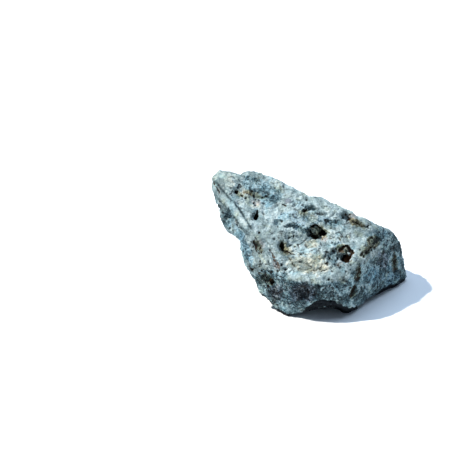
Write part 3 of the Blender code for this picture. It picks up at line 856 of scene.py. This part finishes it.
def roughen(skin, finish):
    """Gives the skin its relief and its finish."""
    tree = relief_tree()
    modifier = skin.modifiers.new("Relief", "NODES")
    modifier.node_group = tree
    inputs = {item.name: item.identifier for item in tree.interface.items_tree if item.in_out == "INPUT"}
    for name, size in RELIEF.items():
        modifier[inputs[name]] = size if name == "Pock depth" else size * MM
    modifier[inputs["Seed"]] = RELIEF_SEED
    modifier[inputs["Finish"]] = finish
    shaped(skin)


# The share of the skin's faces that stay; those that go are on the sides that the camera doesn't see.
KEPT_FACES = 0.70


def thin_hidden(skin):
    """Takes faces from the hidden sides alone, which leaves the pitted side all its detail."""
    hidden = np.flatnonzero(mesh_normals(skin.data) @ view_ways()[2] < 0.0)
    group = skin.vertex_groups.new(name="hidden")
    group.add(hidden.tolist(), 1.0, "REPLACE")
    with_modifier(skin, "DECIMATE", ratio=KEPT_FACES, vertex_group=group.name)
    skin.vertex_groups.clear()


# The sizes of what mottles and speckles the stone, and how far its crumbs and flecks stand out.
BROAD_SIZE = 16.0
MOTTLE_SIZE = 7.0
CRUMB_SIZE = 3.0
FLECK_SIZE = 1.35
GRIT_SIZE = 1.5
HUE_SIZE = 11.0
BUMP_RISE = 0.4

# How pale the stone is where nothing else tells.
PLAIN_TONE = 0.655

# The stone's tones, from its darkest grains to its palest.
TONES = [
    (0.00, (0.010, 0.014, 0.015, 1.0)),
    (0.20, (0.040, 0.060, 0.064, 1.0)),
    (0.40, (0.105, 0.148, 0.155, 1.0)),
    (0.58, (0.208, 0.270, 0.272, 1.0)),
    (0.78, (0.350, 0.435, 0.435, 1.0)),
    (1.00, (0.560, 0.625, 0.610, 1.0)),
]

# What tints them: the changes of hue everywhere, then each kept tone, in the order in which they are laid on.
WARM_TINT = (1.10, 1.03, 0.86, 1.0)
COOL_TINT = (0.80, 0.97, 1.03, 1.0)
TINTS = {
    "slate": (0.82, 0.97, 1.05, 1.0),
    "blue": (0.89, 0.98, 1.06, 1.0),
    "cream": (1.24, 1.04, 0.87, 1.0),
    "olive": (0.95, 0.82, 0.60, 1.0),
    "rose": (1.16, 0.94, 0.90, 1.0),
    "plum": (0.95, 0.80, 0.88, 1.0),
}

# The palest and darkest specks, and what lines the pits; the darkest also paints the shade beneath the stone.
WHITE = (0.62, 0.67, 0.65, 1.0)
INK = (0.005, 0.007, 0.010, 1.0)
PIT_DARK = (0.016, 0.011, 0.008, 1.0)
RUST = (0.055, 0.046, 0.029, 1.0)
BRIGHT_RUST = (0.150, 0.072, 0.032, 1.0)

# How much the changes of hue tint, how much wear calms the speckle, and how fully the small marks are dark.
HUE_SHARE = 0.8
WEAR_CALM = 0.5
STAIN_SHARE = 0.9
CREASE_SHARE = 0.85
POCK_SHARE = 0.8
# How fully the painted shade beneath, in the tuck and along the foot goes to the darkest colour.
PAINTED_SHADE_SHARE = 0.99

# The stone's roughness, how much less its flecks have, and how little it shines.
STONE_ROUGHNESS = 0.88
FLECK_POLISH = 0.25
STONE_SHINE = 0.12


def stone_finish():
    """Weathered blue-grey stone: mottled pale and slate, speckled light and dark, stained brown in its pits."""
    # Painted into its colour too: shade beneath, along the foot and in the relief's hollows, and a highlight on the
    # rib.
    material = bpy.data.materials.new("weathered stone")
    material.use_nodes = True
    tree = material.node_tree
    tree.nodes.clear()
    graph = Graph(tree)
    place = graph.node("ShaderNodeTexCoord")["Object"]

    def kept(name):
        return graph.node("ShaderNodeAttribute", {"attribute_name": name})["Fac"]

    def beside(shift):
        return graph.vector_maths("ADD", place, shift)

    height, worn, slate, olive, pit = (kept(name) for name in ("height", "worn", "slate", "olive", "pit"))
    broad = graph.noise(place, BROAD_SIZE * MM, 3.0, warp=0.5)
    mottle = graph.noise(place, MOTTLE_SIZE * MM, 4.0, 0.6, warp=0.6)
    crumb = graph.noise(place, CRUMB_SIZE * MM, 3.0, 0.65, warp=0.4)
    fleck = graph.noise(place, FLECK_SIZE * MM, 2.0, 0.6)
    grit = graph.noise(beside((0.3, 0.1, 0.2)), GRIT_SIZE * MM, 2.0, 0.6)
    hue = graph.noise(beside((0.1, 0.4, 0.2)), HUE_SIZE * MM, 4.0, 0.6, warp=0.5)
    edge = mottle * 0.25 + crumb * 0.25

    calm = 1.0 - worn * WEAR_CALM
    patches = graph.step(mottle + broad * 0.6, -0.35, 0.45) - 0.5
    speckle = crumb * (0.07 + slate * 0.11 + olive * 0.12) + fleck * (0.12 + slate * 0.27 + olive * 0.2)
    # Where the relief stands high the stone is painted paler and where it sinks darker: painted light and shade of
    # the relief, here and in the pale and dark specks below.
    tone = PLAIN_TONE + broad * 0.06 + calm * (patches * (0.24 + slate * 0.22) + speckle) + height * 0.05
    # The rib's paleness is a painted highlight along the ridge's crest.
    tone = tone + kept("pale") * 0.12 + kept("cream") * 0.01 + kept("rib") * 0.08
    tone = tone - slate * 0.21 - kept("plum") * 0.28 - olive * 0.16 - kept("crease") * 0.12 - kept("line") * 0.50
    colour = graph.node("ShaderNodeValToRGB", {"stops": TONES}, {"Fac": tone})["Color"]

    colour = graph.blend(graph.step(hue, 0.10, 0.70) * HUE_SHARE, colour, WARM_TINT, "MULTIPLY")
    colour = graph.blend(graph.step(hue, -0.10, -0.70) * HUE_SHARE, colour, COOL_TINT, "MULTIPLY")
    for name, tint in TINTS.items():
        colour = graph.blend(graph.step(kept(name) + edge, 0.15, 0.65), colour, tint, "MULTIPLY")

    paler = graph.step(grit * 0.8 + mottle * 0.4 + height * 0.3 + slate * 0.05, 0.30, 0.75)
    colour = graph.blend(calm * paler * (0.46 - slate * 0.1), colour, WHITE)
    darker = graph.step(crumb * 0.6 - grit * 0.6 - fleck * 0.4 - height * 0.3 - worn * 0.2, 0.30, 0.70)
    colour = graph.blend(calm * darker * (0.50 + slate * 0.30), colour, INK)
    stained = graph.step(olive * 0.7 + fleck * 0.6 + crumb * 0.5, 0.55, 0.85)
    colour = graph.blend(stained * STAIN_SHARE, colour, INK)
    creased = kept("crease") * graph.step(crumb, -0.5, 0.1)
    colour = graph.blend(creased * CREASE_SHARE, colour, PIT_DARK)
    colour = graph.blend(kept("pock") * POCK_SHARE, colour, INK)

    lining = graph.blend(graph.step(mottle * 0.6 + crumb * 0.7, -0.1, 0.8), PIT_DARK, RUST)
    lining = graph.blend(graph.step(kept("rust") + edge * 0.6, 0.3, 0.8), lining, BRIGHT_RUST)
    pitted = pit + (crumb * 0.35 + fleck * 0.25) * (1.1 - pit)
    colour = graph.blend(graph.step(pitted, 0.25, 0.65), colour, lining)
    # Painted shade: near black beneath the stone, where the front tucks in, and along the foot.
    damp = graph.step(kept("damp") + edge * 0.2, 0.2, 0.6)
    colour = graph.blend(damp * PAINTED_SHADE_SHARE, colour, INK)

    sockets = {"Strength": 1.0, "Distance": BUMP_RISE * MM, "Height": fleck * 0.5 + crumb}
    bump = graph.node("ShaderNodeBump", {}, sockets)["Normal"]
    rough = STONE_ROUGHNESS - graph.step(fleck, 0.2, 0.8) * FLECK_POLISH
    sockets = {"Base Color": colour, "Roughness": rough, "Normal": bump, "Specular IOR Level": STONE_SHINE}
    shader = graph.node("ShaderNodeBsdfPrincipled", {}, sockets)["BSDF"]
    graph.node("ShaderNodeOutputMaterial", {}, {"Surface": shader})
    return material


def plain_finish(name, colour, roughness):
    material = bpy.data.materials.new(name)
    material.use_nodes = True
    shader = material.node_tree.nodes["Principled BSDF"]
    shader.inputs["Base Color"].default_value = colour
    shader.inputs["Roughness"].default_value = roughness
    return material


FLOOR_SIZE = 6000.0
FLOOR_COLOUR = (0.82, 0.82, 0.82, 1.0)
FLOOR_ROUGHNESS = 0.9

# The pale sky, the wide light from overhead that stands for its brighter part, and the lamp from the left.
SKY_COLOUR = (0.60, 0.77, 1.0, 1.0)
SKY_STRENGTH = 0.30
OVERHEAD_WAY = (0.05, 0.05, 1.0)
OVERHEAD_STRENGTH = 2.0
OVERHEAD_SPREAD = math.radians(50)
LAMP_WAY = (-0.55, -0.067, 0.833)
LAMP_STRENGTH = 5.5
LAMP_COLOUR = (1.0, 0.97, 0.92)
LAMP_SPREAD = math.radians(3)


def make_floor():
    bpy.ops.mesh.primitive_plane_add(size=FLOOR_SIZE * MM)
    floor = bpy.context.object
    floor.name = "pale_floor"
    floor.data.materials.append(plain_finish("pale floor", FLOOR_COLOUR, FLOOR_ROUGHNESS))


def make_light():
    world = bpy.data.worlds.new("pale sky")
    bpy.context.scene.world = world
    world.use_nodes = True
    sky = world.node_tree.nodes["Background"]
    sky.inputs["Color"].default_value = SKY_COLOUR
    sky.inputs["Strength"].default_value = SKY_STRENGTH
    make_lamp("key light", LAMP_WAY, LAMP_COLOUR, LAMP_STRENGTH, LAMP_SPREAD)
    make_lamp("overhead light", OVERHEAD_WAY, SKY_COLOUR[:3], OVERHEAD_STRENGTH, OVERHEAD_SPREAD)


def make_lamp(name, way, colour, strength, spread):
    """A far light that shines from one way, with soft shadow edges as wide as its spread."""
    lamp_data = bpy.data.lights.new(name, "SUN")
    lamp_data.color = colour
    lamp_data.energy = strength
    lamp_data.angle = spread
    lamp = bpy.data.objects.new(name, lamp_data)
    lamp.rotation_euler = Vector(way).to_track_quat("Z", "Y").to_euler()
    bpy.context.scene.collection.objects.link(lamp)


def make_camera():
    camera_data = bpy.data.cameras.new("camera")
    camera_data.lens = LENS
    camera_data.sensor_width = SENSOR
    camera = bpy.data.objects.new("camera", camera_data)
    bpy.context.scene.collection.objects.link(camera)
    right, up, out = (Vector(way) for way in view_ways())
    aim = Vector(VIEW_MIDDLE) + right * SIGHT_MIDDLE[0] + up * SIGHT_MIDDLE[1]
    camera.location = (aim + out * SIGHT_LENGTH) * MM
    camera.rotation_euler = Matrix((right, up, out)).transposed().to_euler()
    bpy.context.scene.camera = camera
    bpy.context.scene.view_settings.view_transform = "Standard"


make_camera()
skin = skin_of_node("stone")
carve(skin)
roughen(skin, stone_finish())
thin_hidden(skin)
skin.data.shade_smooth()
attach(skin, "root")
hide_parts("stone")
make_floor()
make_light()
